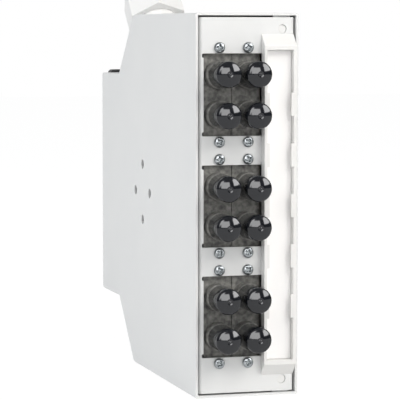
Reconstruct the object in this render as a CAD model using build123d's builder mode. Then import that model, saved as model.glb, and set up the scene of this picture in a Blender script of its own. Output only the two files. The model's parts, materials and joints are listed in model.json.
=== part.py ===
"""DIN rail fibre box: a narrow sheet-steel housing with a slide-in patching drawer.

Millimetres, +Z up. The front faces -Y and the rail clip is at the back.
The origin is the centre of the flat bottom on which the box can stand.
"""
from build123d import *
import os

os.makedirs("parts", exist_ok=True)

# Three rows of duplex adapters set the height
ADAPTER_WIDTH = 12.2
ADAPTER_HEIGHT = 44.0
ADAPTER_GAP_Z = 2.2
ROW_MARGIN = 10.7
OPENING_PITCH = ADAPTER_HEIGHT + ADAPTER_GAP_Z

# Housing outline, seen from the side: flat top and bottom, two 45 degree cable walls, a rear box
WIDTH = 44.5
HEIGHT = 3 * OPENING_PITCH + 2 * ROW_MARGIN
FLAT_DEPTH = 105.0
SLANT = 27.5
REAR_BOX_DEPTH = 33.5
SHEET = 1.0
OBTUSE_BEND = 3.0
SQUARE_BEND = 1.6
EDGE_BREAK = 0.4

# Places that follow from the outline
FRONT = -FLAT_DEPTH / 2
FLAT_END = FLAT_DEPTH / 2
SLANT_END = FLAT_END + SLANT
REAR = SLANT_END + REAR_BOX_DEPTH
MIDDLE = HEIGHT / 2
INNER_SIDE = WIDTH / 2 - SHEET

# What repeats or is hidden is drawn with flats, to keep the model light
ROUND_SIDES = 24
HIDDEN_SIDES = 8

# Four clearance holes in the left side, for the rail clip in its other position
CLIP_HOLE_PITCH = 25.0
CLIP_HOLE_R = 2.15
SIDE_HOLES_DEPTH = 88.0

# Drawer: front panel and side plate, folded from one sheet
PANEL_RECESS = 0.5
PANEL_GAP_X = 0.75
PANEL_GAP_Z = 0.75
PANEL_BEND = 1.4
RETURN_DEPTH = 12.0
PLATE_DEPTH = 100.0
PLATE_CORNER = 8.0
TIE_SLOT = (12.0, 3.0)
TIE_SLOT_MARGIN = 7.0
PANEL_FACE = FRONT + PANEL_RECESS
PANEL_BACK = PANEL_FACE + SHEET
PANEL_HALF = INNER_SIDE - PANEL_GAP_X
PANEL_LOW = SHEET + PANEL_GAP_Z
PANEL_HEIGHT = HEIGHT - 2 * PANEL_LOW
PLATE_END = PANEL_FACE + PLATE_DEPTH
PLATE_INNER = PANEL_HALF - SHEET

# Guide rails on the housing's floor and roof, beside the plate
RAIL_CLEARANCE = 0.3
RAIL_WIDTH = 3.0
RAIL_HEIGHT = 4.0
RAIL_START = 6.0
RAIL_LENGTH = 94.0
RAIL_OUTER = PLATE_INNER - RAIL_CLEARANCE

# Duplex adapter: a cast metal plate with two threaded ports on each face
ADAPTER_PLATE = 2.5
ADAPTER_CORNER = 1.2
PAD_THICKNESS = 1.6
PAD_MARGIN = 0.6
BODY_MARGIN = 6.5
BODY_DEPTH = 6.5
BODY_INSET = 0.5
PORT_PITCH = 16.4
RING_R = 5.8
RING_HEIGHT = 5.2
BARREL_R = 3.9
BARREL_LENGTH = 8.8
BARREL_BORE_R = 2.5
BARREL_BORE_DEPTH = 9.0
KEY_WIDTH = 2.2
KEY_DEPTH = 3.4
SLEEVE_R = 1.6
SLEEVE_BORE_R = 1.25
SLEEVE_LENGTH = 11.4
SLEEVE_CLEARANCE = 0.05
ADAPTER_FACE = PANEL_BACK + PAD_THICKNESS
ADAPTER_BACK = ADAPTER_FACE + ADAPTER_PLATE
BODY_BACK = ADAPTER_BACK + BODY_DEPTH
RING_FACE = ADAPTER_FACE - RING_HEIGHT
BARREL_TIP = RING_FACE - BARREL_LENGTH
REAR_TIP = BODY_BACK + BARREL_LENGTH

# Three openings, each with two duplex adapters side by side
OPENING_MARGIN = 1.8
OPENING_LEDGE = 4.9
ADAPTER_GAP_X = 0.2
ADAPTER_SIDE_GAP = 0.6
RELIEF_R = 0.9
ADAPTER_PITCH = ADAPTER_WIDTH + ADAPTER_GAP_X
OPENING_WIDTH = ADAPTER_PITCH + ADAPTER_WIDTH + 2 * ADAPTER_SIDE_GAP
OPENING_HEIGHT = ADAPTER_HEIGHT - 2 * OPENING_LEDGE
OPENING_X = OPENING_MARGIN - PANEL_HALF + OPENING_WIDTH / 2
ADAPTER_COLUMNS = {"left": OPENING_X - ADAPTER_PITCH / 2, "right": OPENING_X + ADAPTER_PITCH / 2}
ADAPTER_ROWS = {"top": MIDDLE + OPENING_PITCH, "middle": MIDDLE, "bottom": MIDDLE - OPENING_PITCH}

# Dust cap pushed over each front port
CAP_R = 5.4
CAP_LENGTH = 13.2
CAP_CLEARANCE = 0.1
CAP_TOP = 2.0
CAP_EDGE = 1.4
CAP_CROWN = 2.0

# Adapter screws
SCREW_MARGIN = 2.5
SCREW_PITCH = ADAPTER_HEIGHT - 2 * SCREW_MARGIN
SCREW_R = 1.1
SCREW_HEAD_R = 2.25
SCREW_HEAD_HEIGHT = 1.4
HEAD_SIDES = 16
HEAD_TAPER = 20.0
RECESS_LENGTH = 2.4
RECESS_WIDTH = 0.6
RECESS_DEPTH = 0.9
RECESS_TURN = 45.0
SCREW_LENGTH = 6.0
SCREW_CLEARANCE = 0.1
PANEL_HOLE_R = 1.35

# Label holder clipped to the panel's right side
LABEL_WIDTH = 14.0
LABEL_MARGIN_X = 0.2
LABEL_MARGIN_Z = 8.6
LABEL_RIGHT = PANEL_HALF - LABEL_MARGIN_X
LABEL_LEFT = LABEL_RIGHT - LABEL_WIDTH
LABEL_HEIGHT = HEIGHT - 2 * LABEL_MARGIN_Z
LABEL_RISE = 4.4
LABEL_RAMP = 4.8
LABEL_RIM = 1.3
LABEL_POCKET_MARGIN = 6.7
LABEL_POCKET_HEIGHT = LABEL_HEIGHT - 2 * LABEL_POCKET_MARGIN
LABEL_FLOOR = 1.0
TAB_COUNT = 5
TAB_PITCH = 21.1
TAB_LENGTH = 9.8
TAB_REACH = 1.0
TAB_THICKNESS = 0.9
CARD_THICKNESS = 0.4
CARD_CLEARANCE = 0.2
LABEL_PEG_R = 1.5
LABEL_PEG_LENGTH = 2.6
LABEL_PEG_PITCH = 110.0
PEG_CLEARANCE = 0.1
LABEL_X = (LABEL_LEFT + LABEL_RIGHT) / 2
LABEL_FACE = PANEL_FACE - LABEL_RISE
POCKET_FLOOR = PANEL_FACE - LABEL_FLOOR

# Two push rivets hold the closed drawer to lugs inside the housing
RIVET_MARGIN_X = 5.2
RIVET_MARGIN_Z = 6.6
RIVET_X = PANEL_HALF - RIVET_MARGIN_X
RIVET_PITCH = HEIGHT - 2 * RIVET_MARGIN_Z
RIVET_R = 1.75
RIVET_HOLE_CLEARANCE = 0.1
RIVET_SINK = 0.45
RIVET_LEG_R = 1.5
RIVET_LEG_LENGTH = 6.0
LUG_GAP = 0.4
LUG_HALF_WIDTH = 3.6
LUG_HEIGHT = 11.0

# Splice tray on the drawer's side plate
TRAY_START = 30.0
TRAY_LENGTH = 66.0
TRAY_HEIGHT = 124.0
TRAY_CORNER = 14.0
TRAY_FLOOR = 1.5
TRAY_WALL = 1.4
TRAY_DEPTH = 9.0
TRAY_ENTRY = 16.0
LID_THICKNESS = 1.2
BOBBIN_R = 14.0
BOBBIN_WALL = 1.4
BOBBIN_PITCH = 78.0
BOBBIN_GAP = 9.0
COMB_LENGTH = 26.0
COMB_BASE = 1.4
COMB_SLOTS = 5
COMB_SLOT = 3.0
COMB_RIB = 1.2
COMB_DEPTH = 6.0
COMB_PITCH = 23.4
TRAY_SCREW_SPACING = (46.0, 104.0)
TRAY_SCREW_R = 1.45
TRAY_SCREW_HEAD_R = 2.7
TRAY_SCREW_HEAD = 1.8
TRAY_Y = PANEL_FACE + TRAY_START + TRAY_LENGTH / 2
TRAY_FLOOR_X = PLATE_INNER - TRAY_FLOOR
TRAY_RIM_X = PLATE_INNER - TRAY_DEPTH

# Cable entries in the two 45 degree walls: a gland above, a blanking plug below
ENTRY_X = -4.4
ENTRY_R = 10.15
THREAD_R = 10.0
HEX_FLATS = 25.0
HEX_TURN = 22.0
GASKET_THICKNESS = 1.5
GASKET_R = 12.0
GASKET_CLEARANCE = 0.1
GLAND_FLANGE = 5.0
GLAND_BODY_TOP = 24.0
GLAND_BORE_R = 7.6
GLAND_THREAD_DEPTH = 9.0
DOME_NUT_START = 13.4
DOME_NUT_HEX = 18.0
DOME_NUT_TOP = 8.0
CROWN_STEP = 0.4
CROWN_TAPER = 22.0
DOME_NUT_MOUTH_R = 6.8
DOME_THREAD_CLEARANCE = 0.1
SEAL_BORE_R = 5.0
SEAL_LENGTH = 13.0
SEAL_RISE = 4.0
SEAL_CLEARANCE = 0.1
LOCKNUT_THICKNESS = 5.0
PLUG_FLANGE = 3.0
PLUG_LEDGE = 1.0
PLUG_SLOT = (14.0, 2.0)

# Rail clip on the rear wall, for a 35 mm top-hat rail
RAIL_WIDTH_35 = 35.0
CLIP_WIDTH = 36.0
CLIP_HEIGHT = 107.8
CLIP_THICKNESS = 6.0
CLIP_CORNER = 2.0
HOOK_WIDTH = 30.0
HOOK_GAP = 1.5
HOOK_LIP = 1.9
HOOK_OVERLAP = 2.2
HOOK_ROOT = 4.0
RAIL_PLAY = 0.4
LATCH_WIDTH = 14.0
LATCH_THICKNESS = 3.4
LATCH_CLEARANCE = 0.3
LATCH_TRAVEL = 3.5
LATCH_TAIL = 7.0
LATCH_BLOCK = 4.6
LATCH_EYE = (8.0, 2.6)
WINDOW_WIDTH = 6.0
WINDOW_LOW = 12.0
WINDOW_HEIGHT = 20.0
SPRING_STRIP = 0.4
SPRING_WIDTH = 4.0
SPRING_FOLDS = 7
STOP_HEIGHT = 4.0
STOP_CLEARANCE = 0.1
STRAP_HEIGHT = 3.0
STRAP_SEAT = 4.0
STRAP_THICKNESS = 1.2
CLIP_SCREW_R = 2.0
CLIP_SCREW_HEAD_R = 3.6
CLIP_SCREW_HEAD = 2.2
CLIP_SCREW_LENGTH = 9.0
CLIP_NUT_FLATS = 7.0
CLIP_NUT_HEIGHT = 3.2
CLIP_BACK = REAR + CLIP_THICKNESS
CLIP_LOW = MIDDLE - CLIP_HEIGHT / 2


def save(builder, label):
    """Label a finished piece and write its file."""
    builder.part.label = label
    export_step(builder.part, f"parts/{label}.step")


def upright(y):
    """The plane at depth y whose sketches read as seen from the front: x right, y up."""
    return Plane(origin=(0, y, 0), x_dir=(1, 0, 0), z_dir=(0, -1, 0))


def light_round(radius, mode=Mode.ADD, sides=ROUND_SIDES):
    """A nearly round outline in the sketch in hand, for round forms that repeat."""
    RegularPolygon(radius, sides, mode=mode)


def hidden_round(radius, mode=Mode.ADD):
    """A coarser round outline, for rods and holes that nothing shows."""
    light_round(radius, mode, HIDDEN_SIDES)


def entry_plane(side):
    """The outer face of a cable wall, side 1 above and -1 below, at the entry's centre."""
    rise = MIDDLE - SLANT / 2
    centre = (ENTRY_X, FLAT_END + SLANT / 2, MIDDLE + side * rise)
    return Plane(origin=centre, x_dir=(1, 0, 0), z_dir=(0, 1, side))


def side_outline(front, inset=0.0):
    """Fill the sketch in hand with the housing's side view, drawn inwards by inset."""
    with BuildLine() as outline:
        Polyline(
            (front, 0),
            (FLAT_END, 0),
            (SLANT_END, SLANT),
            (REAR, SLANT),
            (REAR, HEIGHT - SLANT),
            (SLANT_END, HEIGHT - SLANT),
            (FLAT_END, HEIGHT),
            (front, HEIGHT),
            close=True,
        )
    make_face(outline.edges())
    obtuse = [corner for corner in vertices() if abs(corner.X - FLAT_END) < SHEET / 2]
    fillet(obtuse, OBTUSE_BEND)
    square = [corner for corner in vertices() if corner.X > SLANT_END - SHEET / 2]
    fillet(square, SQUARE_BEND)
    if inset:
        offset(amount=-inset)


def port_places():
    """Front-view place of every port, from top left to bottom right."""
    for row, z in ADAPTER_ROWS.items():
        for column, x in ADAPTER_COLUMNS.items():
            for end, step in (("upper", PORT_PITCH / 2), ("lower", -PORT_PITCH / 2)):
                yield f"{row}_{column}_{end}", (x, z + step)


def screw_places():
    """Front-view place of every adapter screw."""
    return [
        (x, z + step)
        for z in ADAPTER_ROWS.values()
        for x in ADAPTER_COLUMNS.values()
        for step in (SCREW_PITCH / 2, -SCREW_PITCH / 2)
    ]


def rivet_places():
    return [(RIVET_X, MIDDLE + side * RIVET_PITCH / 2) for side in (1, -1)]


# Housing: one folded and welded steel shell, open at the front
with BuildPart() as housing:
    with BuildSketch(Plane.YZ):
        side_outline(FRONT)
    extrude(amount=WIDTH / 2, both=True)
    side_edges = housing.edges().filter_by(lambda edge: abs(abs(edge.center().X) - WIDTH / 2) < 1e-6)
    chamfer(side_edges.filter_by(lambda edge: edge.center().Y > FRONT + 1e-6), EDGE_BREAK)
    with BuildSketch(Plane.YZ):
        side_outline(FRONT - 2 * SHEET, SHEET)
    extrude(amount=INNER_SIDE, both=True, mode=Mode.SUBTRACT)
    # Holes for the rail clip, in the left side and in the rear wall
    with BuildSketch(Plane.YZ.offset(-WIDTH / 2)):
        with Locations((FRONT + SIDE_HOLES_DEPTH, MIDDLE)):
            with PolarLocations(CLIP_HOLE_PITCH / 2, 4):
                Circle(CLIP_HOLE_R)
    extrude(amount=2 * SHEET, mode=Mode.SUBTRACT)
    with BuildSketch(upright(REAR)):
        with Locations((0, MIDDLE)):
            with GridLocations(0, CLIP_HOLE_PITCH, 1, 2):
                hidden_round(CLIP_HOLE_R)
    extrude(amount=2 * SHEET, mode=Mode.SUBTRACT)
    # Cable entries
    for side in (1, -1):
        with BuildSketch(entry_plane(side)):
            Circle(ENTRY_R)
        extrude(amount=-2 * SHEET, mode=Mode.SUBTRACT)
    # Lugs that the drawer's push rivets snap into
    with BuildSketch(upright(PANEL_BACK + LUG_GAP + SHEET)):
        for side in (1, -1):
            with Locations((RIVET_X, MIDDLE + side * (MIDDLE - SHEET / 2 - LUG_HEIGHT / 2))):
                Rectangle(2 * LUG_HALF_WIDTH, LUG_HEIGHT)
        with Locations(*rivet_places()):
            hidden_round(RIVET_LEG_R + RIVET_HOLE_CLEARANCE, Mode.SUBTRACT)
    extrude(amount=SHEET)
save(housing, "housing")

# Guide rails: plastic strips on the floor and the roof that steer the drawer's plate
for label, bottom in (("lower_guide_rail", SHEET), ("upper_guide_rail", HEIGHT - SHEET - RAIL_HEIGHT)):
    with BuildPart() as guide_rail:
        with BuildSketch(Plane.XY.offset(bottom)):
            with Locations((RAIL_OUTER - RAIL_WIDTH / 2, FRONT + RAIL_START + RAIL_LENGTH / 2)):
                Rectangle(RAIL_WIDTH, RAIL_LENGTH)
        extrude(amount=RAIL_HEIGHT)
        chamfer(guide_rail.edges().filter_by(Axis.Z), RAIL_WIDTH / 4)
    save(guide_rail, label)

# Drawer front: panel, left return and right side plate from one folded sheet
with BuildPart() as front_panel:
    with BuildSketch(Plane.XY.offset(PANEL_LOW)):
        with BuildLine():
            fold = FilletPolyline(
                (-PANEL_HALF, PANEL_FACE + RETURN_DEPTH),
                (-PANEL_HALF, PANEL_FACE),
                (PANEL_HALF, PANEL_FACE),
                (PANEL_HALF, PLATE_END),
                radius=PANEL_BEND,
            )
            offset(amount=SHEET, side=Side.LEFT)
        make_face()
    extrude(amount=PANEL_HEIGHT)
    rear_corners = front_panel.edges().filter_by(Axis.X).group_by(Axis.Y)[-1]
    fillet(rear_corners, PLATE_CORNER)
    # Top and bottom returns, which end before the rivet lugs
    return_left = -PANEL_HALF + PANEL_BEND
    return_right = RIVET_X - LUG_HALF_WIDTH - RAIL_CLEARANCE - SHEET
    for bottom in (PANEL_LOW, PANEL_LOW + PANEL_HEIGHT - SHEET):
        with BuildSketch(Plane.XY.offset(bottom)):
            with Locations(((return_left + return_right) / 2, PANEL_BACK + RETURN_DEPTH / 2 - SHEET / 2)):
                Rectangle(return_right - return_left, RETURN_DEPTH)
        extrude(amount=SHEET)
    # Openings with small round reliefs at their left corners
    with BuildSketch(upright(PANEL_BACK)):
        for z in ADAPTER_ROWS.values():
            with Locations((OPENING_X, z)):
                Rectangle(OPENING_WIDTH, OPENING_HEIGHT)
                with Locations((-OPENING_WIDTH / 2, 0)):
                    with GridLocations(0, OPENING_HEIGHT - 2 * RELIEF_R, 1, 2):
                        hidden_round(RELIEF_R)
        with Locations(*screw_places()):
            hidden_round(PANEL_HOLE_R)
        with Locations(*rivet_places()):
            light_round(RIVET_R + RIVET_HOLE_CLEARANCE)
        with Locations((LABEL_X, MIDDLE)):
            with GridLocations(0, LABEL_PEG_PITCH, 1, 2):
                hidden_round(LABEL_PEG_R + PEG_CLEARANCE)
    extrude(amount=SHEET, mode=Mode.SUBTRACT)
    # Side plate: screw holes for the tray and two slots for cable ties
    with BuildSketch(Plane.YZ.offset(PLATE_INNER)):
        with Locations((TRAY_Y, MIDDLE)):
            with GridLocations(*TRAY_SCREW_SPACING, 2, 2):
                hidden_round(TRAY_SCREW_R + SCREW_CLEARANCE)
            with GridLocations(0, TRAY_HEIGHT + 2 * TIE_SLOT_MARGIN, 1, 2):
                SlotOverall(*TIE_SLOT)
    extrude(amount=SHEET, mode=Mode.SUBTRACT)
save(front_panel, "front_panel")


def make_adapter(x, z):
    """One duplex adapter, with its ports one above the other."""
    with BuildPart() as adapter:
        with BuildSketch(upright(ADAPTER_BACK)):
            with Locations((x, z)):
                Rectangle(ADAPTER_WIDTH, ADAPTER_HEIGHT)
            chamfer(vertices(), ADAPTER_CORNER)
        extrude(amount=ADAPTER_PLATE)
        # Raised ends that meet the back of the panel
        pad_height = (ADAPTER_HEIGHT - OPENING_HEIGHT) / 2 - PAD_MARGIN
        with BuildSketch(upright(ADAPTER_FACE)):
            with Locations((x, z)):
                with GridLocations(0, ADAPTER_HEIGHT - pad_height, 1, 2):
                    Rectangle(ADAPTER_WIDTH - 2 * ADAPTER_CORNER, pad_height)
        extrude(amount=PAD_THICKNESS)
        with BuildSketch(upright(BODY_BACK)):
            with Locations((x, z)):
                Rectangle(ADAPTER_WIDTH - 2 * BODY_INSET, ADAPTER_HEIGHT - 2 * BODY_MARGIN)
        extrude(amount=BODY_DEPTH)
        with BuildSketch(upright(ADAPTER_FACE)):
            with Locations((x, z)):
                with GridLocations(0, PORT_PITCH, 1, 2):
                    light_round(RING_R)
        extrude(amount=RING_HEIGHT)
        for start, length in ((RING_FACE, BARREL_LENGTH), (BODY_BACK, -BARREL_LENGTH)):
            with BuildSketch(upright(start)):
                with Locations((x, z)):
                    with GridLocations(0, PORT_PITCH, 1, 2):
                        hidden_round(BARREL_R)
            extrude(amount=length)
        # Ferrule bore right through, wider inside the rear barrels
        bores = ((SLEEVE_R + SLEEVE_CLEARANCE, REAR_TIP - BARREL_TIP), (BARREL_BORE_R, BARREL_BORE_DEPTH))
        for radius, length in bores:
            with BuildSketch(upright(REAR_TIP)):
                with Locations((x, z)):
                    with GridLocations(0, PORT_PITCH, 1, 2):
                        hidden_round(radius)
            extrude(amount=length, mode=Mode.SUBTRACT)
        # Key slot at the top of each rear barrel
        with BuildSketch(upright(REAR_TIP)):
            with Locations((x, z + BARREL_R)):
                with GridLocations(0, PORT_PITCH, 1, 2):
                    Rectangle(KEY_WIDTH, BARREL_R)
        extrude(amount=KEY_DEPTH, mode=Mode.SUBTRACT)
        with BuildSketch(upright(ADAPTER_BACK)):
            with Locations((x, z)):
                with GridLocations(0, SCREW_PITCH, 1, 2):
                    hidden_round(SCREW_R + SCREW_CLEARANCE)
        extrude(amount=ADAPTER_PLATE + PAD_THICKNESS, mode=Mode.SUBTRACT)
    return adapter


for row, z in ADAPTER_ROWS.items():
    for column, x in ADAPTER_COLUMNS.items():
        save(make_adapter(x, z), f"adapter_{row}_{column}")

# Ceramic alignment sleeves, one floating in the middle of each port
with BuildPart() as alignment_sleeves:
    sleeve_end = (BARREL_TIP + REAR_TIP + SLEEVE_LENGTH) / 2
    with BuildSketch(upright(sleeve_end)):
        with Locations(*[place for _, place in port_places()]):
            hidden_round(SLEEVE_R)
            hidden_round(SLEEVE_BORE_R, Mode.SUBTRACT)
    extrude(amount=SLEEVE_LENGTH)
save(alignment_sleeves, "alignment_sleeves")


def make_dust_cap(x, z):
    """A moulded cup with a crowned end, pushed on until it meets the ring."""
    with BuildPart() as cap:
        with BuildSketch(upright(RING_FACE)):
            with Locations((x, z)):
                light_round(CAP_R)
        extrude(amount=CAP_LENGTH)
        chamfer(cap.faces().sort_by(Axis.Y)[0].edges(), CAP_EDGE)
        end = cap.faces().sort_by(Axis.Y)[0]
        chamfer(end.edges(), CAP_CROWN, CAP_EDGE / 2, reference=end)
        with BuildSketch(upright(RING_FACE)):
            with Locations((x, z)):
                hidden_round(BARREL_R + CAP_CLEARANCE)
        extrude(amount=CAP_LENGTH - CAP_TOP, mode=Mode.SUBTRACT)
    return cap


for place, (x, z) in port_places():
    save(make_dust_cap(x, z), f"dust_cap_{place}")

# Adapter screws: pan heads on the panel, shanks in the adapters' ends
with BuildPart() as adapter_screws:
    with BuildSketch(upright(PANEL_FACE + SCREW_LENGTH)):
        with Locations(*screw_places()):
            hidden_round(SCREW_R)
    extrude(amount=SCREW_LENGTH)
    with BuildSketch(upright(PANEL_FACE)):
        with Locations(*screw_places()):
            RegularPolygon(SCREW_HEAD_R, HEAD_SIDES)
    extrude(amount=SCREW_HEAD_HEIGHT, taper=HEAD_TAPER)
    with BuildSketch(upright(PANEL_FACE - SCREW_HEAD_HEIGHT)):
        with Locations(*screw_places()):
            Rectangle(RECESS_LENGTH, RECESS_WIDTH, rotation=RECESS_TURN)
            Rectangle(RECESS_WIDTH, RECESS_LENGTH, rotation=RECESS_TURN)
    extrude(amount=-RECESS_DEPTH, mode=Mode.SUBTRACT)
save(adapter_screws, "adapter_screws")

# Label holder: a tray with ramped ends, a deep pocket and retaining tabs
with BuildPart() as label_holder:
    with BuildSketch(Plane.YZ.offset(LABEL_LEFT)):
        with BuildLine():
            low = MIDDLE - LABEL_HEIGHT / 2
            high = MIDDLE + LABEL_HEIGHT / 2
            Polyline(
                (PANEL_FACE, low),
                (LABEL_FACE, low + LABEL_RAMP),
                (LABEL_FACE, high - LABEL_RAMP),
                (PANEL_FACE, high),
                close=True,
            )
        make_face()
    extrude(amount=LABEL_RIGHT - LABEL_LEFT)
    pocket_width = LABEL_RIGHT - LABEL_LEFT - 2 * LABEL_RIM
    with BuildSketch(upright(POCKET_FLOOR)):
        with Locations((LABEL_X, MIDDLE)):
            Rectangle(pocket_width, LABEL_POCKET_HEIGHT)
    extrude(amount=LABEL_RISE - LABEL_FLOOR, mode=Mode.SUBTRACT)
    with BuildSketch(upright(LABEL_FACE + TAB_THICKNESS)):
        with Locations((LABEL_X, MIDDLE)):
            with GridLocations(pocket_width - TAB_REACH, TAB_PITCH, 2, TAB_COUNT):
                Rectangle(TAB_REACH, TAB_LENGTH)
    extrude(amount=TAB_THICKNESS)
    with BuildSketch(upright(PANEL_FACE)):
        with Locations((LABEL_X, MIDDLE)):
            with GridLocations(0, LABEL_PEG_PITCH, 1, 2):
                hidden_round(LABEL_PEG_R)
    extrude(amount=-LABEL_PEG_LENGTH)
save(label_holder, "label_holder")

# Blank card in the holder
with BuildPart() as label_card:
    with BuildSketch(upright(POCKET_FLOOR)):
        with Locations((LABEL_X, MIDDLE)):
            card_width = LABEL_RIGHT - LABEL_LEFT - 2 * (LABEL_RIM + CARD_CLEARANCE)
            Rectangle(card_width, LABEL_POCKET_HEIGHT - 2 * CARD_CLEARANCE)
    extrude(amount=CARD_THICKNESS)
save(label_card, "label_card")

# Push rivets, sunk a little below the panel's face
with BuildPart() as push_rivets:
    rivet_face = PANEL_FACE + RIVET_SINK
    with BuildSketch(upright(PANEL_BACK)):
        with Locations(*rivet_places()):
            light_round(RIVET_R)
    extrude(amount=PANEL_BACK - rivet_face)
    with BuildSketch(upright(PANEL_BACK + RIVET_LEG_LENGTH)):
        with Locations(*rivet_places()):
            hidden_round(RIVET_LEG_R)
    extrude(amount=RIVET_LEG_LENGTH)
    tips = push_rivets.edges().group_by(Axis.Y)[-1]
    chamfer(tips, RIVET_LEG_R / 2)
save(push_rivets, "push_rivets")

# Splice tray: an open moulding with an outer wall, two bobbins and two comb seats
with BuildPart() as splice_tray:
    with BuildSketch(Plane.YZ.offset(TRAY_FLOOR_X)):
        with Locations((TRAY_Y, MIDDLE)):
            RectangleRounded(TRAY_LENGTH, TRAY_HEIGHT, TRAY_CORNER)
            with GridLocations(*TRAY_SCREW_SPACING, 2, 2):
                hidden_round(TRAY_SCREW_R + SCREW_CLEARANCE, Mode.SUBTRACT)
    extrude(amount=TRAY_FLOOR)
    with BuildSketch(Plane.YZ.offset(TRAY_RIM_X)):
        with Locations((TRAY_Y, MIDDLE)):
            RectangleRounded(TRAY_LENGTH, TRAY_HEIGHT, TRAY_CORNER)
            inner = (TRAY_LENGTH - 2 * TRAY_WALL, TRAY_HEIGHT - 2 * TRAY_WALL)
            RectangleRounded(*inner, TRAY_CORNER - TRAY_WALL, mode=Mode.SUBTRACT)
            # Fibre entries at the front, near the top and the bottom
            with Locations((-TRAY_LENGTH / 2, 0)):
                with GridLocations(0, TRAY_HEIGHT - 2 * TRAY_CORNER - TRAY_ENTRY, 1, 2):
                    Rectangle(4 * TRAY_WALL, TRAY_ENTRY, mode=Mode.SUBTRACT)
            for side in (1, -1):
                with Locations((0, side * BOBBIN_PITCH / 2)):
                    light_round(BOBBIN_R)
                    light_round(BOBBIN_R - BOBBIN_WALL, Mode.SUBTRACT)
                    Rectangle(BOBBIN_GAP, 3 * BOBBIN_R, mode=Mode.SUBTRACT)
    extrude(amount=TRAY_DEPTH - TRAY_FLOOR)
save(splice_tray, "splice_tray")

# Comb inserts that hold the splice protectors
for label, side in (("upper_splice_comb", 1), ("lower_splice_comb", -1)):
    with BuildPart() as splice_comb:
        comb_height = COMB_SLOTS * COMB_SLOT + (COMB_SLOTS + 1) * COMB_RIB
        centre = (TRAY_Y, MIDDLE + side * COMB_PITCH / 2)
        with BuildSketch(Plane.YZ.offset(TRAY_FLOOR_X - COMB_BASE)):
            with Locations(centre):
                Rectangle(COMB_LENGTH, comb_height)
        extrude(amount=COMB_BASE)
        with BuildSketch(Plane.YZ.offset(TRAY_FLOOR_X - COMB_DEPTH)):
            with Locations(centre):
                with GridLocations(0, COMB_SLOT + COMB_RIB, 1, COMB_SLOTS + 1):
                    Rectangle(COMB_LENGTH, COMB_RIB)
        extrude(amount=COMB_DEPTH - COMB_BASE)
    save(splice_comb, label)

# Clear lid that snaps on the tray's rim
with BuildPart() as tray_lid:
    with BuildSketch(Plane.YZ.offset(TRAY_RIM_X - LID_THICKNESS)):
        with Locations((TRAY_Y, MIDDLE)):
            RectangleRounded(TRAY_LENGTH, TRAY_HEIGHT, TRAY_CORNER)
    extrude(amount=LID_THICKNESS)
save(tray_lid, "tray_lid")

# Screws that hold the tray to the side plate
with BuildPart() as tray_screws:
    with BuildSketch(Plane.YZ.offset(TRAY_FLOOR_X)):
        with Locations((TRAY_Y, MIDDLE)):
            with GridLocations(*TRAY_SCREW_SPACING, 2, 2):
                hidden_round(TRAY_SCREW_R)
    extrude(amount=TRAY_FLOOR + SHEET)
    with BuildSketch(Plane.YZ.offset(TRAY_FLOOR_X)):
        with Locations((TRAY_Y, MIDDLE)):
            with GridLocations(*TRAY_SCREW_SPACING, 2, 2):
                RegularPolygon(TRAY_SCREW_HEAD_R, HEAD_SIDES)
    extrude(amount=-TRAY_SCREW_HEAD, taper=HEAD_TAPER)
save(tray_screws, "tray_screws")


def hexagon(flats):
    """A hexagon in the sketch in hand, turned as the nuts stand on the box."""
    RegularPolygon(flats / 2, 6, major_radius=False, rotation=HEX_TURN)


def make_gasket(side):
    """Flat sealing ring under a flange."""
    with BuildPart() as gasket:
        with BuildSketch(entry_plane(side)):
            light_round(GASKET_R)
            light_round(THREAD_R + GASKET_CLEARANCE, Mode.SUBTRACT)
        extrude(amount=GASKET_THICKNESS)
    return gasket


def make_locknut(side):
    """Hexagon nut against the inside of the cable wall."""
    with BuildPart() as locknut:
        with BuildSketch(entry_plane(side).offset(-SHEET)):
            hexagon(HEX_FLATS)
            light_round(THREAD_R + GASKET_CLEARANCE, Mode.SUBTRACT)
        extrude(amount=-LOCKNUT_THICKNESS)
    return locknut


save(make_gasket(1), "gland_gasket")
save(make_gasket(-1), "plug_gasket")
save(make_locknut(1), "gland_locknut")
save(make_locknut(-1), "plug_locknut")

# Gland body: hexagon flange, lower thread through the wall, upper thread for the dome nut
with BuildPart() as gland_body:
    with BuildSketch(entry_plane(1).offset(-GLAND_THREAD_DEPTH)):
        light_round(THREAD_R)
    extrude(amount=GLAND_THREAD_DEPTH + GLAND_BODY_TOP)
    with BuildSketch(entry_plane(1).offset(GASKET_THICKNESS)):
        hexagon(HEX_FLATS)
    extrude(amount=GLAND_FLANGE)
    with BuildSketch(entry_plane(1).offset(-GLAND_THREAD_DEPTH)):
        light_round(GLAND_BORE_R)
    extrude(amount=GLAND_THREAD_DEPTH + GLAND_BODY_TOP, mode=Mode.SUBTRACT)
save(gland_body, "gland_body")

# Rubber sealing insert that the dome nut squeezes round the cable
with BuildPart() as gland_seal:
    seal_start = GLAND_BODY_TOP - SEAL_LENGTH + SEAL_RISE
    with BuildSketch(entry_plane(1).offset(seal_start)):
        light_round(GLAND_BORE_R - SEAL_CLEARANCE)
        Circle(SEAL_BORE_R, mode=Mode.SUBTRACT)
    extrude(amount=SEAL_LENGTH)
save(gland_seal, "gland_seal")

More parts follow.
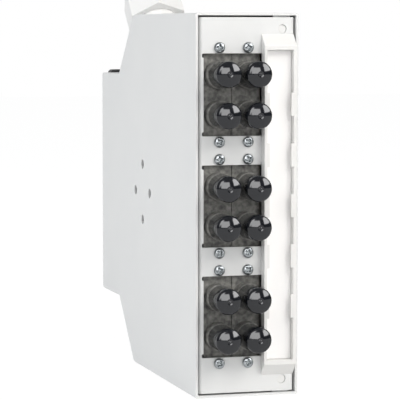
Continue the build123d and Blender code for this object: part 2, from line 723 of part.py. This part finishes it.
# Dome nut: hexagon with a rounded crown, hollow inside
with BuildPart() as gland_dome_nut:
    with BuildSketch(entry_plane(1).offset(DOME_NUT_START)):
        hexagon(HEX_FLATS)
        light_round(THREAD_R + DOME_THREAD_CLEARANCE, Mode.SUBTRACT)
    extrude(amount=DOME_NUT_HEX)
    crown = entry_plane(1).offset(DOME_NUT_START + DOME_NUT_HEX)
    with BuildSketch(crown):
        light_round(HEX_FLATS / 2 - CROWN_STEP)
    extrude(amount=DOME_NUT_TOP, taper=CROWN_TAPER)
    with BuildSketch(crown):
        light_round(DOME_NUT_MOUTH_R)
    extrude(amount=DOME_NUT_TOP, mode=Mode.SUBTRACT)
save(gland_dome_nut, "gland_dome_nut")

# Blanking plug in the lower cable wall
with BuildPart() as blanking_plug:
    with BuildSketch(entry_plane(-1).offset(GASKET_THICKNESS)):
        light_round(GASKET_R + PLUG_LEDGE)
    extrude(amount=PLUG_FLANGE)
    outward = Axis((0, 0, 0), (0, 1, -1))
    chamfer(blanking_plug.faces().sort_by(outward)[-1].edges(), PLUG_FLANGE / 3)
    with BuildSketch(entry_plane(-1).offset(GASKET_THICKNESS)):
        light_round(THREAD_R)
    extrude(amount=-GASKET_THICKNESS - GLAND_THREAD_DEPTH)
    with BuildSketch(entry_plane(-1).offset(-GLAND_THREAD_DEPTH)):
        light_round(GLAND_BORE_R)
    extrude(amount=GLAND_THREAD_DEPTH, mode=Mode.SUBTRACT)
    with BuildSketch(entry_plane(-1).offset(GASKET_THICKNESS + PLUG_FLANGE)):
        Rectangle(*PLUG_SLOT)
    extrude(amount=-PLUG_FLANGE / 2, mode=Mode.SUBTRACT)
save(blanking_plug, "blanking_plug")

# Rail clip: fixed hook above, sprung latch below
rail_top = MIDDLE + RAIL_WIDTH_35 / 2 + RAIL_PLAY
rail_bottom = MIDDLE - RAIL_WIDTH_35 / 2 - RAIL_PLAY
channel_top = rail_bottom
latch_low = CLIP_LOW - LATCH_TAIL
window_low = CLIP_LOW + WINDOW_LOW
window_high = window_low + WINDOW_HEIGHT
strap_high = rail_bottom - LATCH_BLOCK - LATCH_TRAVEL - LATCH_CLEARANCE
stop_low = window_low + STOP_CLEARANCE
latch_face = CLIP_BACK - LATCH_THICKNESS - LATCH_CLEARANCE
latch_back = CLIP_BACK - LATCH_CLEARANCE
with BuildPart() as clip_base:
    with BuildSketch(upright(CLIP_BACK)):
        with Locations((0, MIDDLE)):
            RectangleRounded(CLIP_WIDTH, CLIP_HEIGHT, CLIP_CORNER)
    extrude(amount=CLIP_THICKNESS)
    with BuildSketch(Plane.YZ):
        with BuildLine():
            Polyline(
                (CLIP_BACK, rail_top),
                (CLIP_BACK + HOOK_GAP, rail_top),
                (CLIP_BACK + HOOK_GAP, rail_top - HOOK_OVERLAP),
                (CLIP_BACK + HOOK_GAP + HOOK_LIP, rail_top - HOOK_OVERLAP),
                (CLIP_BACK + HOOK_GAP + HOOK_LIP, rail_top + HOOK_ROOT / 2),
                (CLIP_BACK, rail_top + HOOK_ROOT),
                close=True,
            )
        make_face()
    extrude(amount=HOOK_WIDTH / 2, both=True)
    # Channel for the latch, with a stop for its spring and two straps across it
    channel_height = channel_top - CLIP_LOW
    channel_depth = CLIP_BACK - latch_face + LATCH_CLEARANCE
    with BuildSketch(upright(CLIP_BACK)):
        with Locations((0, CLIP_LOW + channel_height / 2)):
            Rectangle(LATCH_WIDTH + 2 * LATCH_CLEARANCE, channel_height)
    extrude(amount=channel_depth, mode=Mode.SUBTRACT)
    with BuildSketch(upright(CLIP_BACK)):
        with Locations((0, stop_low + STOP_HEIGHT / 2)):
            Rectangle(WINDOW_WIDTH - 2 * LATCH_CLEARANCE, STOP_HEIGHT)
    extrude(amount=channel_depth)
    with BuildSketch(upright(CLIP_BACK + STRAP_THICKNESS)):
        for z in (CLIP_LOW + STRAP_HEIGHT, strap_high - STRAP_HEIGHT / 2):
            with Locations((0, z)):
                Rectangle(LATCH_WIDTH + 2 * STRAP_SEAT, STRAP_HEIGHT)
    extrude(amount=STRAP_THICKNESS)
    # Sunk screw heads
    with BuildSketch(upright(CLIP_BACK)):
        with Locations((0, MIDDLE)):
            with GridLocations(0, CLIP_HOLE_PITCH, 1, 2):
                light_round(CLIP_SCREW_HEAD_R + LATCH_CLEARANCE)
    extrude(amount=CLIP_SCREW_HEAD + SHEET, mode=Mode.SUBTRACT)
    with BuildSketch(upright(CLIP_BACK)):
        with Locations((0, MIDDLE)):
            with GridLocations(0, CLIP_HOLE_PITCH, 1, 2):
                hidden_round(CLIP_HOLE_R)
    extrude(amount=CLIP_THICKNESS, mode=Mode.SUBTRACT)
save(clip_base, "rail_clip_base")

# Latch: a flat slider with a lip over the rail's lower edge and an eye for a screwdriver
with BuildPart() as rail_latch:
    with BuildSketch(upright(latch_back)):
        with BuildLine():
            half = LATCH_WIDTH / 2
            Polyline(
                (-half, latch_low),
                (half, latch_low),
                (half, rail_bottom - LATCH_CLEARANCE),
                (-half, rail_bottom - LATCH_CLEARANCE),
                close=True,
            )
        make_face()
        with Locations((0, (window_low + window_high) / 2)):
            Rectangle(WINDOW_WIDTH, WINDOW_HEIGHT, mode=Mode.SUBTRACT)
        with Locations((0, latch_low + LATCH_TAIL / 2)):
            SlotOverall(*LATCH_EYE, mode=Mode.SUBTRACT)
    extrude(amount=LATCH_THICKNESS)
    with BuildSketch(Plane.YZ):
        with BuildLine():
            Polyline(
                (latch_back, rail_bottom - LATCH_CLEARANCE),
                (CLIP_BACK + HOOK_GAP, rail_bottom - LATCH_CLEARANCE),
                (CLIP_BACK + HOOK_GAP, rail_bottom + HOOK_OVERLAP),
                (CLIP_BACK + HOOK_GAP + HOOK_LIP / 2, rail_bottom + HOOK_OVERLAP),
                (CLIP_BACK + HOOK_GAP + HOOK_LIP, rail_bottom),
                (CLIP_BACK + HOOK_GAP + HOOK_LIP, rail_bottom - LATCH_BLOCK),
                (latch_back, rail_bottom - LATCH_BLOCK),
                close=True,
            )
        make_face()
    extrude(amount=LATCH_WIDTH / 2, both=True)
save(rail_latch, "rail_latch")

# Latch spring: a folded steel strip between the stop and the top of the latch's window
with BuildPart() as latch_spring:
    spring_low = stop_low + STOP_HEIGHT
    fold_height = (window_high - spring_low - SPRING_STRIP) / SPRING_FOLDS
    with BuildSketch(upright(latch_back)):
        with BuildLine():
            zigzag = Polyline(
                *[
                    ((-1) ** fold * SPRING_WIDTH / 2, spring_low + SPRING_STRIP / 2 + fold * fold_height)
                    for fold in range(SPRING_FOLDS + 1)
                ]
            )
            offset(amount=SPRING_STRIP / 2, side=Side.BOTH, kind=Kind.INTERSECTION)
        make_face()
    extrude(amount=LATCH_THICKNESS)
save(latch_spring, "latch_spring")

# Clip screws from behind, with their nuts inside the housing
with BuildPart() as clip_screws:
    head_seat = CLIP_BACK - SHEET - CLIP_SCREW_HEAD
    with BuildSketch(upright(head_seat + CLIP_SCREW_HEAD)):
        with Locations((0, MIDDLE)):
            with GridLocations(0, CLIP_HOLE_PITCH, 1, 2):
                light_round(CLIP_SCREW_HEAD_R)
    extrude(amount=CLIP_SCREW_HEAD)
    with BuildSketch(upright(head_seat)):
        with Locations((0, MIDDLE)):
            with GridLocations(0, CLIP_HOLE_PITCH, 1, 2):
                hidden_round(CLIP_SCREW_R)
    extrude(amount=CLIP_SCREW_LENGTH)
save(clip_screws, "clip_screws")

with BuildPart() as clip_nuts:
    with BuildSketch(upright(REAR - SHEET)):
        with Locations((0, MIDDLE)):
            with GridLocations(0, CLIP_HOLE_PITCH, 1, 2):
                RegularPolygon(CLIP_NUT_FLATS / 2, 6, major_radius=False)
                hidden_round(CLIP_SCREW_R + SCREW_CLEARANCE, Mode.SUBTRACT)
    extrude(amount=CLIP_NUT_HEIGHT)
save(clip_nuts, "clip_nuts")
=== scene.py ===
"""Studio view of a DIN rail fibre box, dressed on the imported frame. Metres, +Z up, front towards -Y."""
import json
from math import atan, cos, pi, radians, sin, tan

import bmesh
import bpy
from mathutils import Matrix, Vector


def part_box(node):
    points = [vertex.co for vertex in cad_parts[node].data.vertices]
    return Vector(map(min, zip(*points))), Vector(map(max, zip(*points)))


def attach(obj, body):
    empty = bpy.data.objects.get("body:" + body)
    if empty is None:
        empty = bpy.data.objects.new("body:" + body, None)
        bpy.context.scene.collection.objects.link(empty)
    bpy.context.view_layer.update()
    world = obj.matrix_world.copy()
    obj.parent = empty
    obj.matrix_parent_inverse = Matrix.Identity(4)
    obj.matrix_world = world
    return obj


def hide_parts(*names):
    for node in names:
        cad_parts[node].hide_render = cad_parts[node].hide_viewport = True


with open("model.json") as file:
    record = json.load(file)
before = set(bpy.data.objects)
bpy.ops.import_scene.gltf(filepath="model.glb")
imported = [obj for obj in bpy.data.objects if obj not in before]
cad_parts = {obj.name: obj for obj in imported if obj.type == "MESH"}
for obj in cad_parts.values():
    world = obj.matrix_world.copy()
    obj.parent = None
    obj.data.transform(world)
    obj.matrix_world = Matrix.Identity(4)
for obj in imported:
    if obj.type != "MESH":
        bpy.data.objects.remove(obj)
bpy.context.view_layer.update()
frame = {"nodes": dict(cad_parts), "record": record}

nodes = frame["nodes"]
MM = 0.001


def middle_of(name):
    low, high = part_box(name)
    return (low + high) / 2


# Materials

RELIEF_DETAIL = 3.0
DRIFT_FROM = 0.3
DRIFT_TO = 0.7

# Relief is scale per metre, depth and strength; drift is dark tone, light tone, scale per metre and detail
LOOKS = {
    "white_paint": {
        "colour": (0.76, 0.765, 0.76),
        "roughness": 0.42,
        "relief": (1500.0, 0.03 * MM, 0.35),
        "drift": ((0.75, 0.757, 0.755), (0.77, 0.775, 0.77), 35.0, 4.0),
    },
    "black_plastic": {
        "colour": (0.02, 0.02, 0.021),
        "roughness": 0.5,
        "relief": (2500.0, 0.02 * MM, 0.5),
    },
    "cast_metal": {
        "colour": (0.17, 0.167, 0.155),
        "roughness": 0.5,
        "relief": (1300.0, 0.05 * MM, 0.5),
        "drift": ((0.06, 0.06, 0.057), (0.27, 0.265, 0.245), 520.0, 8.0),
        "inputs": {"Metallic": 0.1},
    },
    "white_ceramic": {
        "colour": (0.8, 0.79, 0.75),
        "roughness": 0.3,
    },
    "black_vinyl": {
        "colour": (0.006, 0.007, 0.01),
        "roughness": 0.08,
        "relief": (420.0, 0.03 * MM, 0.15),
        "inputs": {"Specular IOR Level": 0.55},
    },
    "plated_steel": {
        "colour": (0.31, 0.33, 0.34),
        "roughness": 0.3,
        "relief": (3000.0, 0.01 * MM, 0.5),
        "inputs": {"Metallic": 1.0},
    },
    "white_plastic": {
        "colour": (0.82, 0.815, 0.8),
        "roughness": 0.38,
        "relief": (900.0, 0.02 * MM, 0.3),
    },
    "sunk_plastic": {
        "colour": (0.77, 0.768, 0.758),
        "roughness": 0.45,
        "relief": (900.0, 0.02 * MM, 0.3),
    },
    "white_card": {
        "colour": (0.96, 0.95, 0.945),
        "roughness": 0.7,
        "relief": (3500.0, 0.02 * MM, 0.5),
    },
    "clear_plastic": {
        "colour": (0.92, 0.95, 0.95),
        "roughness": 0.12,
        "inputs": {"Transmission Weight": 1.0, "IOR": 1.49},
    },
    "light_nylon": {
        "colour": (0.85, 0.848, 0.838),
        "roughness": 0.42,
        "relief": (1100.0, 0.03 * MM, 0.3),
    },
    "dark_rubber": {
        "colour": (0.025, 0.025, 0.026),
        "roughness": 0.62,
        "relief": (1800.0, 0.03 * MM, 0.5),
    },
}


def add_noise(tree, scale, detail):
    """Noise over the object's own place, in metres."""
    place = tree.nodes.new("ShaderNodeTexCoord")
    noise = tree.nodes.new("ShaderNodeTexNoise")
    noise.inputs["Scale"].default_value = scale
    noise.inputs["Detail"].default_value = detail
    tree.links.new(place.outputs["Object"], noise.inputs["Vector"])
    return noise


def add_relief(tree, shader, scale, depth, strength):
    """Fine bumps such as orange peel or cast grain."""
    noise = add_noise(tree, scale, RELIEF_DETAIL)
    bump = tree.nodes.new("ShaderNodeBump")
    bump.inputs["Strength"].default_value = strength
    bump.inputs["Distance"].default_value = depth
    tree.links.new(noise.outputs["Fac"], bump.inputs["Height"])
    tree.links.new(bump.outputs["Normal"], shader.inputs["Normal"])


def add_drift(tree, shader, dark, light, scale, detail):
    """Base colour that wanders between two tones."""
    noise = add_noise(tree, scale, detail)
    ramp = tree.nodes.new("ShaderNodeValToRGB")
    stops = ramp.color_ramp.elements
    for stop, position, tone in ((stops[0], DRIFT_FROM, dark), (stops[1], DRIFT_TO, light)):
        stop.position = position
        stop.color = (*tone, 1.0)
    tree.links.new(noise.outputs["Fac"], ramp.inputs["Fac"])
    tree.links.new(ramp.outputs["Color"], shader.inputs["Base Color"])


def make_material(name, colour, roughness, relief=None, drift=None, inputs=None):
    material = bpy.data.materials.new(name)
    material.use_nodes = True
    material.diffuse_color = (*colour, 1.0)
    tree = material.node_tree
    shader = tree.nodes["Principled BSDF"]
    shader.inputs["Base Color"].default_value = (*colour, 1.0)
    shader.inputs["Roughness"].default_value = roughness
    for socket, value in (inputs or {}).items():
        shader.inputs[socket].default_value = value
    if drift:
        add_drift(tree, shader, *drift)
    if relief:
        add_relief(tree, shader, *relief)
    return material


materials = {name: make_material(name, **look) for name, look in LOOKS.items()}

# Each CAD node takes the material of its slot in the record
for part in frame["record"]["subparts"]:
    node = nodes[part["node"]]
    node.data.materials.clear()
    node.data.materials.append(materials[part["material_slot"]])
nodes["push_rivets"].data.materials[0] = materials["sunk_plastic"]


# Edges: CAD nodes get small rounded edges, so that they catch the light

WELD_REACH = 0.002 * MM
BEVEL_SEGMENTS = 2
BEVEL_ANGLE = radians(30)
SPLIT_ANGLE = radians(40)
NORMAL_WEIGHT = 90

adapters = [name for name in nodes if name.startswith("adapter_") and name != "adapter_screws"]
thin_plates = ["front_panel", "label_card"]
fittings = ["gland_dome_nut", "gland_body", "gland_locknut", "plug_locknut", "blanking_plug"]
mouldings = ["rail_clip_base", "splice_tray", "tray_lid", "rail_latch"]
small_parts = ["push_rivets", "alignment_sleeves", "clip_screws", "clip_nuts", "tray_screws", "latch_spring"]
seals = ["gland_gasket", "plug_gasket", "gland_seal"]
strips = ["upper_guide_rail", "lower_guide_rail", "upper_splice_comb", "lower_splice_comb"]

EDGE_WIDTHS = [
    (["housing"], 0.25 * MM),
    (thin_plates + adapters, 0.12 * MM),
    (["label_holder"], 0.22 * MM),
    (fittings, 0.3 * MM),
    (mouldings, 0.2 * MM),
    (small_parts, 0.08 * MM),
    (seals + strips, 0.15 * MM),
]


def soften(node, width):
    """Round the sharp edges, keep the flats flat and shade many-sided forms as round."""
    node.data.shade_smooth()
    weld = node.modifiers.new("weld", "WELD")
    weld.merge_threshold = WELD_REACH
    bevel = node.modifiers.new("edge", "BEVEL")
    bevel.width = width
    bevel.segments = BEVEL_SEGMENTS
    bevel.limit_method = "ANGLE"
    bevel.angle_limit = BEVEL_ANGLE
    split = node.modifiers.new("split", "EDGE_SPLIT")
    split.split_angle = SPLIT_ANGLE
    weighted = node.modifiers.new("weighted", "WEIGHTED_NORMAL")
    weighted.keep_sharp = True
    weighted.weight = NORMAL_WEIGHT


for names, width in EDGE_WIDTHS:
    for name in names:
        soften(nodes[name], width)


# Turned pieces, built ring by ring about lines along Y

POINT_R = 1e-7


def add_ring(work, centre, radius, y, steps, sunk=None):
    """Points round a centre (x, z) at y, moved back by sunk(x, z); a single point where the radius is 0."""
    ring = []
    for step in range(steps if radius > POINT_R else 1):
        turn = 2 * pi * step / steps
        x, z = radius * cos(turn), radius * sin(turn)
        back = sunk(x, z) if sunk else 0.0
        ring.append(work.verts.new((centre[0] + x, y + back, centre[1] + z)))
    return ring


def bridge(work, rings, steps):
    """Faces between neighbouring rings, where a ring may be a single point."""
    for first, second in zip(rings, rings[1:]):
        for step in range(steps):
            after = (step + 1) % steps
            corners = [first[step % len(first)], first[after % len(first)]]
            corners += [second[after % len(second)], second[step % len(second)]]
            unique = list(dict.fromkeys(corners))
            if len(unique) > 2:
                work.faces.new(unique)


def make_piece(name, work, body, slot):
    """A smooth object from the mesh in work, riding on its body."""
    bmesh.ops.recalc_face_normals(work, faces=work.faces)
    for face in work.faces:
        face.smooth = True
    mesh = bpy.data.meshes.new(name)
    work.to_mesh(mesh)
    work.free()
    mesh.materials.append(materials[slot])
    piece = bpy.data.objects.new(name, mesh)
    bpy.context.scene.collection.objects.link(piece)
    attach(piece, body)
    return piece


# Dust caps: turned afresh with a crowned end, a dimple with a moulding nub, and a rounded rim

CAP_STEPS = 64
CAP_NUB_R = 0.5 * MM
CAP_NUB_TOP_SHARE = 0.6
CAP_NUB_DROP = 0.08 * MM
CAP_NUB_RISE = 0.1 * MM
CAP_DIMPLE_R = 1.15 * MM
CAP_DIMPLE_FLOOR_SHARE = 0.7
CAP_DIMPLE = 0.35 * MM
CAP_CROWN = 1.05 * MM
CAP_CROWN_STEPS = 10
CAP_CORNER = 1.0 * MM
CAP_CORNER_STEPS = 8
CAP_LIP = 0.25 * MM
CAP_WALL = 1.0 * MM
CAP_END_THICKNESS = 2.2 * MM


def cap_profile(low, high):
    """The outline of a cap, as radius and y, from the middle of its end to the middle of its bore."""
    outer = (high.x - low.x) / 2
    bore = outer - CAP_WALL
    floor = low.y + CAP_END_THICKNESS
    flat = outer - CAP_CORNER
    profile = [
        (0.0, low.y),
        (CAP_NUB_R * CAP_NUB_TOP_SHARE, low.y + CAP_NUB_DROP),
        (CAP_NUB_R, low.y + CAP_DIMPLE),
        (CAP_DIMPLE_R * CAP_DIMPLE_FLOOR_SHARE, low.y + CAP_DIMPLE),
    ]
    base = low.y + CAP_NUB_RISE
    for step in range(CAP_CROWN_STEPS + 1):
        radius = CAP_DIMPLE_R + (flat - CAP_DIMPLE_R) * step / CAP_CROWN_STEPS
        profile.append((radius, base + CAP_CROWN * (radius / flat) ** 2))
    # The corner leaves the crown at the crown's own slope and ends along the cap's side
    shoulder = profile[-1][1]
    start = atan(2 * CAP_CROWN / flat)
    swing = CAP_CORNER / cos(start)
    for step in range(1, CAP_CORNER_STEPS + 1):
        turn = start + (pi / 2 - start) * step / CAP_CORNER_STEPS
        across = (sin(turn) - sin(start)) / (1 - sin(start))
        profile.append((flat + CAP_CORNER * across, shoulder + swing * (cos(start) - cos(turn))))
    profile += [(outer, high.y - CAP_LIP), (outer - CAP_LIP, high.y)]
    profile += [(bore, high.y), (bore, floor), (0.0, floor)]
    return profile


def lathe(name, profile, centre, lean, body, slot):
    """Turn a profile about a line along Y; lean moves the first point's end aside by (x, z)."""
    first_y, last_y = profile[0][1], max(y for _, y in profile)
    work = bmesh.new()
    rings = []
    for radius, y in profile:
        share = (last_y - y) / (last_y - first_y)
        place = (centre[0] + share * lean[0], centre[1] + share * lean[1])
        rings.append(add_ring(work, place, radius, y, CAP_STEPS))
    bridge(work, rings, CAP_STEPS)
    return make_piece(name, work, body, slot)


# Soft caps never sit quite straight: how far each end leans, by column and by row and port
LEAN_X = {"left": 0.15 * MM, "right": 0.85 * MM}
LEAN_Z = {
    ("top", "upper"): 0.5 * MM,
    ("top", "lower"): -0.1 * MM,
    ("middle", "upper"): -0.25 * MM,
    ("middle", "lower"): 0.1 * MM,
    ("bottom", "upper"): -0.25 * MM,
    ("bottom", "lower"): -0.3 * MM,
}

for (row, end), lean_z in LEAN_Z.items():
    for column, lean_x in LEAN_X.items():
        name = f"dust_cap_{row}_{column}_{end}"
        middle = middle_of(name)
        profile = cap_profile(*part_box(name))
        place, lean = (middle.x, middle.z), (lean_x, lean_z)
        cap = lathe(name + "_turned", profile, place, lean, "drawer", "black_vinyl")
        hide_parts(name)


# Adapter screws: domed pan heads with a cross recess, each stopped at its own angle

SCREW_STEPS = 48
SCREW_RINGS = 18
RECESS_HALF_WIDTH = 0.46 * MM
RECESS_REACH = 1.55 * MM
RECESS_SLOPE = 0.2 * MM
RECESS_END_SLOPE = 4 * RECESS_SLOPE
RECESS_DEPTH = 1.0 * MM
HEAD_CROWN = 0.6 * MM
HEAD_ROUNDING = 3.6
SHANK_SHARE = 0.48
FIRST_TURN = 0.35
NEXT_TURN = 1.9
PLACE_DIGITS = 5


def recess_depth(x, z, turn):
    """How deep the cross recess is at a place on the head."""
    across = x * cos(turn) + z * sin(turn)
    along = z * cos(turn) - x * sin(turn)
    deepest = 0.0
    for side, reach in ((across, along), (along, across)):
        wall = min(1.0, max(0.0, (RECESS_HALF_WIDTH - abs(side)) / RECESS_SLOPE))
        end = min(1.0, max(0.0, (RECESS_REACH - abs(reach)) / RECESS_END_SLOPE))
        deepest = max(deepest, RECESS_DEPTH * wall * end)
    return deepest


def add_screw(work, centre, radius, front, seat, back, turn):
    """Add one pan-head screw with its shank to the mesh in work."""
    def sunk(x, z):
        return recess_depth(x, z, turn)

    rings = []
    for step in range(SCREW_RINGS + 1):
        reach = radius * step / SCREW_RINGS
        dome = front + HEAD_CROWN * (reach / radius) ** HEAD_ROUNDING
        rings.append(add_ring(work, centre, reach, dome, SCREW_STEPS, sunk))
    shank = radius * SHANK_SHARE
    for reach, y in ((radius, seat), (shank, seat), (shank, back), (0.0, back)):
        rings.append(add_ring(work, centre, reach, y, SCREW_STEPS))
    bridge(work, rings, SCREW_STEPS)


def make_screws():
    """All adapter screws as one piece, placed by the adapters and the CAD screws' box."""
    low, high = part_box("adapter_screws")
    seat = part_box("front_panel")[0].y
    columns = sorted({round(middle_of(name).x, PLACE_DIGITS) for name in adapters})
    rows = sorted({round(middle_of(name).z, PLACE_DIGITS) for name in adapters})
    spread = columns[1] - columns[0]
    radius = (high.x - low.x - spread) / 2
    rise = (high.z - low.z - 2 * radius - (rows[-1] - rows[0])) / 2
    work = bmesh.new()
    turn = FIRST_TURN
    for row in rows:
        for end in (rise, -rise):
            for column in columns:
                add_screw(work, (column, row + end), radius, low.y, seat, high.y, turn)
                turn += NEXT_TURN
    screws = make_piece("adapter_screws_turned", work, "drawer", "plated_steel")
    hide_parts("adapter_screws")


make_screws()


# Shader nodes shared by the floor and the world

WHITE = (1.0, 1.0, 1.0)


def join(tree, operation, *values):
    """One math node on sockets or numbers."""
    node = tree.nodes.new("ShaderNodeMath")
    node.operation = operation
    for slot, value in enumerate(values):
        if isinstance(value, float):
            node.inputs[slot].default_value = value
        else:
            tree.links.new(value, node.inputs[slot])
    return node.outputs["Value"]


def mix(tree, share, first, second):
    """Two shaders mixed, with the given share of the second."""
    node = tree.nodes.new("ShaderNodeMixShader")
    for slot, socket in enumerate((share, first, second)):
        tree.links.new(socket, node.inputs[slot])
    return node.outputs["Shader"]


# Floor: glows white for the camera and in reflections, and is plain diffuse for the rest

FLOOR_REACH = 4.0
FLOOR_GREY = 0.86
FLOOR_GLOW = 1.06
FLOOR_GLOW_SHARE = 0.9


def make_floor():
    mesh = bpy.data.meshes.new("floor")
    corners = [(-1, -1), (1, -1), (1, 1), (-1, 1)]
    mesh.from_pydata([(FLOOR_REACH * x, FLOOR_REACH * y, 0) for x, y in corners], [], [(0, 1, 2, 3)])
    floor = bpy.data.objects.new("floor", mesh)
    bpy.context.scene.collection.objects.link(floor)
    material = bpy.data.materials.new("floor")
    material.use_nodes = True
    tree = material.node_tree
    tree.nodes.clear()
    output = tree.nodes.new("ShaderNodeOutputMaterial")
    diffuse = tree.nodes.new("ShaderNodeBsdfDiffuse")
    diffuse.inputs["Color"].default_value = (FLOOR_GREY, FLOOR_GREY, FLOOR_GREY, 1.0)
    glow = tree.nodes.new("ShaderNodeEmission")
    glow.inputs["Strength"].default_value = FLOOR_GLOW
    path = tree.nodes.new("ShaderNodeLightPath").outputs
    seen = join(tree, "MAXIMUM", path["Is Camera Ray"], path["Is Glossy Ray"])
    share = join(tree, "MULTIPLY", seen, FLOOR_GLOW_SHARE)
    blend = mix(tree, share, diffuse.outputs["BSDF"], glow.outputs["Emission"])
    tree.links.new(blend, output.inputs["Surface"])
    mesh.materials.append(material)


# World: white to the camera, a studio in reflections and an even light for the rest

AMBIENT_COLOUR = (0.96, 0.98, 1.0)
AMBIENT_LEVEL = 0.42
MIRRORED_LOW = 0.12
MIRRORED_HIGH = 0.4
MIRRORED_BACK = 0.65

# Softboxes as the caps mirror them: azimuth, elevation and half spans in radians, and level
BOX_EDGE = 0.07
MIRRORED_BOXES = [(-0.1, 0.3, 0.33, 0.22, 6.5), (0.93, 0.46, 0.24, 0.2, 9.0)]


def rescale(tree, value, end, start=0.0):
    """A value between 0 and 1 spread evenly from start to end."""
    node = tree.nodes.new("ShaderNodeMapRange")
    node.inputs["To Min"].default_value = start
    node.inputs["To Max"].default_value = end
    tree.links.new(value, node.inputs["Value"])
    return node.outputs["Result"]


def smooth_band(tree, value, centre, half, edge):
    """1 where value lies within half of centre, fading to 0 over edge."""
    away = join(tree, "ABSOLUTE", join(tree, "SUBTRACT", value, centre))
    fade = tree.nodes.new("ShaderNodeMapRange")
    fade.interpolation_type = "SMOOTHSTEP"
    fade.inputs["From Min"].default_value = half
    fade.inputs["From Max"].default_value = half + edge
    fade.inputs["To Min"].default_value = 1.0
    fade.inputs["To Max"].default_value = 0.0
    tree.links.new(away, fade.inputs["Value"])
    return fade.outputs["Result"]


def mirrored_level(tree, east, north, rise):
    """Brightness of the studio in reflections: brighter upwards and behind, with the softboxes."""
    azimuth = join(tree, "ARCTAN2", east, join(tree, "MULTIPLY", north, -1.0))
    elevation = join(tree, "ARCSINE", rise)
    upwards = rescale(tree, rise, MIRRORED_HIGH, MIRRORED_LOW)
    level = join(tree, "ADD", upwards, rescale(tree, north, MIRRORED_BACK))
    for turn, lift, half_width, half_height, strength in MIRRORED_BOXES:
        across = smooth_band(tree, azimuth, turn, half_width, BOX_EDGE)
        along = smooth_band(tree, elevation, lift, half_height, BOX_EDGE)
        box = join(tree, "MULTIPLY", join(tree, "MULTIPLY", across, along), strength)
        level = join(tree, "ADD", level, box)
    return level


def add_background(tree, colour):
    node = tree.nodes.new("ShaderNodeBackground")
    node.inputs["Color"].default_value = (*colour, 1.0)
    return node


def make_world():
    """White for the camera and through glass, soft ambient light, and a studio for reflections."""
    world = bpy.data.worlds.new("studio")
    bpy.context.scene.world = world
    world.use_nodes = True
    tree = world.node_tree
    tree.nodes.clear()
    output = tree.nodes.new("ShaderNodeOutputWorld")
    path = tree.nodes.new("ShaderNodeLightPath").outputs
    place = tree.nodes.new("ShaderNodeTexCoord")
    split = tree.nodes.new("ShaderNodeSeparateXYZ")
    tree.links.new(place.outputs["Generated"], split.inputs["Vector"])
    level = mirrored_level(tree, split.outputs["X"], split.outputs["Y"], split.outputs["Z"])
    ambient = add_background(tree, AMBIENT_COLOUR)
    ambient.inputs["Strength"].default_value = AMBIENT_LEVEL
    mirrored = add_background(tree, WHITE)
    tree.links.new(level, mirrored.inputs["Strength"])
    white = add_background(tree, WHITE)
    seen = join(tree, "MAXIMUM", path["Is Camera Ray"], path["Is Transmission Ray"])
    unseen = mix(tree, path["Is Glossy Ray"], ambient.outputs["Background"], mirrored.outputs["Background"])
    tree.links.new(mix(tree, seen, unseen, white.outputs["Background"]), output.inputs["Surface"])


# Lamps: azimuth to the right of the front and elevation, width and height in degrees; radiance; colour

LAMP_DISTANCE = 1.9
LAMP_TARGET = Vector((0.0, 0.0, 0.08))
SOFTBOXES = {
    "key_box": (24, 37, 19, 18, 9.5, (1.0, 0.975, 0.94)),
    "front_box": (-6, 22, 38, 26, 0.8, (1.0, 0.98, 0.95)),
    "top_box": (8, 55, 45, 35, 0.9, (1.0, 0.975, 0.94)),
    "right_box": (48, 30, 27, 22, 2.6, (1.0, 0.955, 0.91)),
    "left_box": (-80, 25, 40, 30, 3.2, (0.97, 0.985, 1.0)),
}


def make_softbox(name, azimuth, elevation, width, height, radiance, colour):
    light = bpy.data.lights.new(name, "AREA")
    light.shape = "RECTANGLE"
    light.size = 2 * LAMP_DISTANCE * tan(radians(width / 2))
    light.size_y = 2 * LAMP_DISTANCE * tan(radians(height / 2))
    light.energy = radiance * pi * light.size * light.size_y
    light.color = colour
    lamp = bpy.data.objects.new(name, light)
    turn, rise = radians(azimuth), radians(elevation)
    direction = Vector((sin(turn) * cos(rise), -cos(turn) * cos(rise), sin(rise)))
    lamp.location = LAMP_TARGET + LAMP_DISTANCE * direction
    lamp.rotation_euler = direction.to_track_quat("Z", "Y").to_euler()
    # Reflections come from the world's boxes
    lamp.visible_glossy = False
    bpy.context.scene.collection.objects.link(lamp)


# Camera, as fitted to the photograph

PHOTO_SIZE = 400
FOCAL_PIXELS = 2137.4
SENSOR = 36.0
CAMERA_PLACE = (-0.2631, -0.8990, 0.1525)
CAMERA_DOWN = 4.519
CAMERA_TURN = 15.997
CLIP_START = 0.01


def make_camera():
    lens = bpy.data.cameras.new("camera")
    lens.sensor_width = SENSOR
    lens.lens = SENSOR * FOCAL_PIXELS / PHOTO_SIZE
    lens.clip_start = CLIP_START
    camera = bpy.data.objects.new("camera", lens)
    camera.location = CAMERA_PLACE
    camera.rotation_euler = (radians(90 - CAMERA_DOWN), 0, radians(-CAMERA_TURN))
    bpy.context.scene.collection.objects.link(camera)
    bpy.context.scene.camera = camera


make_floor()
make_world()
for name, settings in SOFTBOXES.items():
    make_softbox(name, *settings)
make_camera()
bpy.context.scene.view_settings.view_transform = "Standard"
